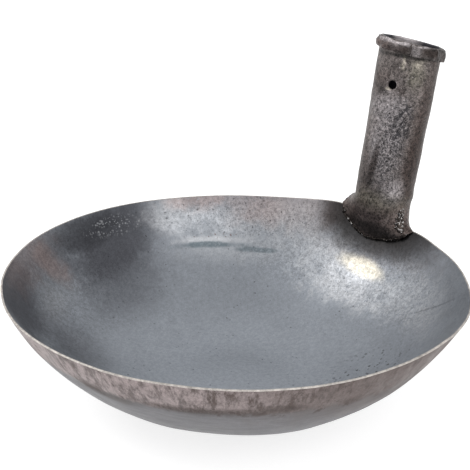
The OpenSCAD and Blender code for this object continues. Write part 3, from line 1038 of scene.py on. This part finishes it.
def socket_place(n, where, pan):
    """Angle round the socket from its left-hand side, radius, and height above the rim along it."""
    turn = Matrix(np.stack([pan.left, pan.inward, pan.axis]).tolist())
    moved = n.add("ShaderNodeVectorMath", {0: where, 1: tuple(-pan.base)}, operation="ADD").outputs["Vector"]
    local = n.add("ShaderNodeMapping", {"Vector": moved, "Rotation": turn.to_euler("XYZ")}).outputs[0]
    return n.group(place_group(), {"Vector": local})


def worn_socket_steel(name, tones, rows, fleck_share, contrast):
    """Worn grey steel with a brown tinge, black mill scale in clusters, and patches of heat.

    The scale is thick in one cluster half-way up and makes a net of fine veins below it, with pale grains
    between them. The room inside is painted near black as shade in the hollow, with one painted lit stretch
    below the mouth.
    """
    c, pan = colours(), Pan()
    material, n, shader, where = start_material(name, 0.78)
    angle, radius, level = socket_place(n, where, pan)
    noise = n.noise(where, 8 * MM, 6.0, 0.70, 0.6)
    broad = n.noise(where, 19 * MM, 4.0, 0.6, 0.8)
    fine = n.noise(where, 1.9 * MM, 5.0, 0.72, 0.4)
    base = n.mix(n.step(n.plus(n.times(noise, 0.6), n.times(broad, 0.4)), 0.40, 0.60), tones[0], tones[1])
    patches = Patches(n, angle, level, noise, fine)
    base = patches.paint(base, rows)
    thick = patches.mask(134.0, 67 * MM, 20.0, 14 * MM, 0.6, 1.5)
    net = patches.mask(118.0, 50 * MM, 28.0, 24 * MM, 0.5, 1.4)
    flecks = n.flecks(where, 2.0 * MM, 0.40, fleck_share)
    clumps = n.step(n.noise(where, 3.0 * MM, 5.0, 0.75, 0.8), 0.50, 0.46)
    grains = n.flecks(where, 1.5 * MM, 0.42, 0.45)
    grain_room = patches.mask(118.0, 62 * MM, 34.0, 36 * MM, 0.5, 1.4, 0.0, 0.3)
    base = n.mix(n.times(grains, grain_room, 0.55), base, scaled(c.socket_pale_and_highlight, 1.5))
    ridge = n.math("ABSOLUTE", n.minus(n.noise(where, 2.6 * MM, 4.0, 0.7, 0.6), 0.5))
    veins = n.step(ridge, 0.045, 0.015)
    dark = n.times(flecks, n.step(n.larger(thick, net), 0.0, 1.0, 0.35, 1.0))
    dark = n.larger(n.larger(dark, n.times(clumps, thick)), n.times(veins, net))
    base = n.mix(n.times(dark, 0.88), base, c.scale)
    base = n.mottle(base, where, 2.2 * MM, contrast)
    spread = (pan.mouth_radius - pan.shoulder_radius) / (pan.length - pan.shoulder)
    outer_face = n.plus(n.times(level, spread), pan.shoulder_radius - spread * pan.shoulder)
    in_wall = n.minus(radius, outer_face)
    # Painted shade inside the hollow of the socket, and a painted lit stretch on its far wall below the
    # mouth.
    room = n.times(n.step(in_wall, -0.8 * MM, -1.3 * MM), n.step(level, pan.shoulder, pan.shoulder + 4 * MM))
    lit = patches.mask(316.0, 114 * MM, 27.0, 7 * MM, 0.5, 1.2, 0.0, 0.2)
    hollow_shade_and_light = n.mix(lit, scaled(c.scale, 2.2), scaled(c.socket_pale_and_highlight, 1.5))
    base = n.mix(n.times(room, 0.92), base, hollow_shade_and_light)
    roughness = n.plus(n.step(noise, 0.3, 0.7, 0.40, 0.58), n.times(dark, 0.1))
    bump = n.plus(n.times(fine, 1.1), n.times(dark, -0.5), n.times(noise, 0.8))
    finish_material(n, shader, base, roughness, bump, 0.55, 0.5 * MM)
    return material


def socket_steel():
    """The socket's steel: rubbed grey, brown on its right, scorch and painted shade towards the foot,
    painted warm highlights near the top, and a painted shadow under the hoop.
    """
    name = "Socket steel"
    if name in bpy.data.materials:
        return bpy.data.materials[name]
    c = colours()
    pale, rust_and_shade, green, warm_highlight = c.socket_pale_and_highlight, c.rust_and_shade, (0.150, 0.145, 0.105), (0.55, 0.50, 0.42)
    rows = (
        (scaled(pale, 0.9), 0.75, 100.0, 77 * MM, 36.0, 10 * MM, 0.8, 1.5, 0.0, 0.2),
        (pale, 0.65, 112.0, 62 * MM, 32.0, 15 * MM, 0.7, 1.5, 0.0, 0.2),
        (pale, 0.60, 116.0, 43 * MM, 27.0, 17 * MM, 0.7, 1.5, 0.0, 0.25),
        (rust_and_shade, 0.70, 66.0, 91 * MM, 34.0, 9 * MM, 0.8, 1.6, 0.0, 0.3),
        (scaled(rust_and_shade, 0.8), 0.60, 122.0, 87 * MM, 12.0, 3.5 * MM, 0.7, 1.4, 0.0, 0.2),
        (c.scorch_and_shade, 0.50, 83.0, 86.5 * MM, 13.0, 4 * MM, 0.7, 1.4, 0.0, 0.2),
        (green, 0.45, 146.0, 100 * MM, 18.0, 10 * MM, 0.7, 1.4, 0.0, 0.3),
        # Painted warm highlights near the top of the socket, below the hoop.
        (warm_highlight, 0.65, 117.5, 105.5 * MM, 4.0, 4 * MM, 0.9, 2.2, 0.0, 0.7),
        (warm_highlight, 0.40, 143.0, 104 * MM, 8.0, 2.5 * MM, 0.9, 2.2, 0.0, 0.8),
        (scaled(rust_and_shade, 0.9), 0.90, 191.0, 60 * MM, 31.0, 66 * MM, 0.5, 1.4, 0.0, 0.15),
        (rust_and_shade, 0.85, 174.0, 46 * MM, 24.0, 30 * MM, 0.7, 1.5, 0.0, 0.25),
        (scaled(rust_and_shade, 0.7), 0.80, 178.0, 48 * MM, 17.0, 22 * MM, 0.6, 1.8, 0.0, 0.25),
        (pale, 0.50, 86.0, 52 * MM, 15.0, 10 * MM, 0.8, 1.5, 0.0, 0.3),
        (scaled(rust_and_shade, 0.7), 0.80, 176.0, 24 * MM, 17.0, 9 * MM, 0.5, 1.6, 0.0, 0.3),
        (scaled(rust_and_shade, 0.6), 0.85, 93.0, 38 * MM, 8.0, 13 * MM, 0.5, 1.6, 250.0, 0.2),
        (c.scorch_and_shade, 0.65, 84.0, 27 * MM, 20.0, 6 * MM, 0.7, 1.6, 0.0, 0.3),
        (rust_and_shade, 0.45, 60.0, 30 * MM, 22.0, 22 * MM, 0.8, 1.4, 0.0, 0.3),
        (pale, 0.85, 142.0, 22 * MM, 19.0, 8 * MM, 0.8, 1.3, 0.0, 0.2),
        (green, 0.55, 105.0, 14 * MM, 60.0, 6 * MM, 0.9, 1.6, 0.0, 0.3),
        # Darker over the foot: brown and scorch from the welding heat, deepened as painted shade on the
        # foot's downward-facing face.
        (scaled(rust_and_shade, 2.0), 0.70, 100.0, -12 * MM, 200.0, 24 * MM, 0.6, 1.2, 0.0, 0.1),
        (c.scorch_and_shade, 0.75, 118.0, -16 * MM, 42.0, 10 * MM, 0.8, 0.8),
        (c.scorch_and_shade, 0.70, 70.0, -6 * MM, 200.0, 5 * MM, 0.8, 0.8, 0.0, 0.1),
        # Painted glint on the lip just below the nail hole.
        (warm_highlight, 0.70, 97.0, 87.3 * MM, 5.5, 0.9 * MM, 0.5, 0.6),
        # Painted shadow: a dark line on the socket just under the hoop's lower edge.
        (c.scorch_and_shade, 0.85, 125.0, 108.8 * MM, 75.0, 1.3 * MM, 0.6, 0.6),
    )
    tones = (scaled(c.socket, 0.52), scaled(c.socket, 1.08))
    return worn_socket_steel(name, tones, rows, 0.50, 0.85)


def hoop_steel():
    """The hoop's steel: brown and beaten, with rubbed spots and painted highlights along its top face."""
    c = colours()
    rows = (
        (c.socket_pale_and_highlight, 0.65, 134.0, 113 * MM, 9.0, 3 * MM, 0.7, 1.6, 0.0, 0.4),
        (c.socket_pale_and_highlight, 0.45, 98.0, 114 * MM, 12.0, 3 * MM, 0.7, 1.6, 0.0, 0.4),
        (scaled(c.brown, 0.7), 0.50, 60.0, 112 * MM, 40.0, 8 * MM, 0.8, 1.6, 0.0, 0.3),
        (scaled(c.rust_and_shade, 0.6), 0.75, 104.0, 112.5 * MM, 24.0, 2.2 * MM, 0.7, 1.8, 0.0, 0.3),
        (scaled(c.rust_and_shade, 0.6), 0.75, 165.0, 113 * MM, 22.0, 2.5 * MM, 0.7, 1.8, 0.0, 0.3),
        # Painted highlights along the hoop's lit top face.
        (scaled(c.socket_pale_and_highlight, 1.7), 0.85, 116.0, 117.5 * MM, 55.0, 1.7 * MM, 0.6, 1.8, 0.0, 0.25),
        (scaled(c.socket_pale_and_highlight, 1.9), 0.90, 325.0, 117.5 * MM, 60.0, 2.5 * MM, 0.6, 1.2, 0.0, 0.2),
    )
    tones = (scaled(c.socket, 0.16), scaled(c.socket, 0.60))
    return worn_socket_steel("Hoop steel", tones, rows, 0.35, 0.70)


def weld_metal(name, threshold, tone):
    """Dark lumpy weld metal with painted glints: small highlights painted into its colour where a fine noise
    runs high. A lower threshold gives more of them.
    """
    c = colours()
    material, n, shader, where = start_material(name, 0.9)
    noise = n.noise(where, 3 * MM, 4.0, 0.6)
    fine = n.noise(where, 1.5 * MM, 3.0, 0.6, 0.5)
    base = n.mix(n.step(noise, 0.38, 0.6), scaled(c.weld, 0.4 * tone), scaled(c.weld, tone))
    # Painted glints: the fine noise's high spots are painted near white as highlights.
    glint = n.step(fine, threshold, threshold + 0.05)
    base = n.mix(n.times(glint, 0.95), base, c.glint)
    finish_material(n, shader, base, n.step(fine, 0.3, 0.7, 0.22, 0.42), n.plus(fine, noise), 0.6, 0.5 * MM)
    return material


def floor_paint():
    """Pale studio paper with a faint tone, which gives off some light of its own."""
    c = colours()
    material, n, shader, where = start_material("Studio paper", 0.0)
    tone = n.noise(where, 0.5, 2.0)
    base = n.mix(n.step(tone, 0.3, 0.7), scaled(c.floor, 0.985), c.floor)
    shader.inputs["Emission Color"].default_value = WHITE
    shader.inputs["Emission Strength"].default_value = PAPER_GLOW
    finish_material(n, shader, base, n.step(tone, 0.3, 0.7, 0.85, 0.9), tone, 0.02, 0.1 * MM)
    return material


# ---------------------------------------------------------------- stage

CAMERA_PLACE = (-0.48144, -0.46013, 0.37131)
CAMERA_AIM = (0.04487, 0.04440, 0.07000)
CAMERA_ROLL = 1.437
CAMERA_LENS = 95.745
SENSOR_WIDTH = 36.0
NEAREST, FARTHEST = 0.01, 60.0
# The floor: half its width, grid lines each way, and how far it lies below the pan
FLOOR_HALF = 25
FLOOR_LINES = 25
FLOOR_DROP = 0.2 * MM
WHITE = (1.0, 1.0, 1.0, 1.0)
PAPER_GLOW = 0.74
SKY_STRENGTH = 0.9
LIGHT_AIM = (0.02, 0.0, 0.06)


def soft_light(name, place, width, power):
    """A square soft box that faces the pan."""
    data = bpy.data.lights.new(name, "AREA")
    data.shape = "RECTANGLE"
    data.size, data.size_y = width, width
    data.energy = power
    light = bpy.data.objects.new(name, data)
    light.location = place
    light.rotation_euler = (Vector(LIGHT_AIM) - Vector(place)).to_track_quat("-Z", "Y").to_euler()
    bpy.context.scene.collection.objects.link(light)


class PAN_OT_stage(bpy.types.Operator):
    """Set the camera, the pale floor and the soft studio light"""

    bl_idname = "pan.stage"
    bl_label = "Stage"

    def execute(self, context):
        scene = context.scene
        data = bpy.data.cameras.new("Camera")
        data.lens = CAMERA_LENS
        data.sensor_width = SENSOR_WIDTH
        data.clip_start, data.clip_end = NEAREST, FARTHEST
        camera = bpy.data.objects.new("Camera", data)
        camera.location = CAMERA_PLACE
        look = Vector(CAMERA_AIM) - Vector(CAMERA_PLACE)
        roll = Matrix.Rotation(math.radians(CAMERA_ROLL), 4, "Z")
        camera.rotation_euler = (look.to_track_quat("-Z", "Y").to_matrix().to_4x4() @ roll).to_euler()
        scene.collection.objects.link(camera)
        scene.camera = camera
        scene.view_settings.view_transform = "Standard"

        side = np.linspace(-FLOOR_HALF, FLOOR_HALF, FLOOR_LINES)
        x, y = np.meshgrid(side, side)
        points = np.stack([x, y, np.full_like(x, -FLOOR_DROP)], axis=-1)
        mesh = bpy.data.meshes.new("Floor")
        quads = grid_quads(FLOOR_LINES, FLOOR_LINES, round_columns=False)
        mesh.from_pydata(points.reshape(-1, 3).tolist(), [], quads.reshape(-1, 4).tolist())
        mesh.materials.append(floor_paint())
        floor = bpy.data.objects.new("Floor", mesh)
        scene.collection.objects.link(floor)

        world = bpy.data.worlds.new("Studio")
        world.use_nodes = True
        background = world.node_tree.nodes["Background"].inputs
        background["Color"].default_value = WHITE
        background["Strength"].default_value = SKY_STRENGTH
        scene.world = world
        soft_light("Left_Softbox", (-0.85, 1.05, 1.25), 0.6, 6.5)
        soft_light("Front_Softbox", (-0.35, -1.3, 1.3), 0.8, 5.0)
        return {"FINISHED"}


# ---------------------------------------------------------------- panel and start

class PAN_PT_sidebar(bpy.types.Panel):
    """Lists the pan's pieces, sizes and colours"""

    bl_idname = "PAN_PT_sidebar"
    bl_label = "Steel Pan"
    bl_space_type = "VIEW_3D"
    bl_region_type = "UI"
    bl_category = "Steel Pan"

    def draw(self, context):
        for operator in OPERATORS:
            self.layout.operator(operator.bl_idname)
        for group_name in ("pan_sizes", "pan_colours"):
            values = getattr(context.scene, group_name)
            box = self.layout.box()
            for name in values.__annotations__:
                box.prop(values, name)


OPERATORS = (PAN_OT_stage, PAN_OT_bowl, PAN_OT_socket, PAN_OT_hoop, PAN_OT_welds)
CLASSES = (PanSizes, PanColours, *OPERATORS, PAN_PT_sidebar)


def register():
    """Registers the classes and the two groups of properties."""
    for item in CLASSES:
        bpy.utils.register_class(item)
    bpy.types.Scene.pan_sizes = bpy.props.PointerProperty(type=PanSizes)
    bpy.types.Scene.pan_colours = bpy.props.PointerProperty(type=PanColours)


def unregister():
    """Takes the classes and properties away again."""
    del bpy.types.Scene.pan_colours
    del bpy.types.Scene.pan_sizes
    for item in reversed(CLASSES):
        bpy.utils.unregister_class(item)


def main():
    register()
    bpy.ops.pan.stage()
    bpy.ops.pan.bowl()
    bpy.ops.pan.socket()
    bpy.ops.pan.hoop()
    bpy.ops.pan.welds()


if __name__ == "__main__":
    main()
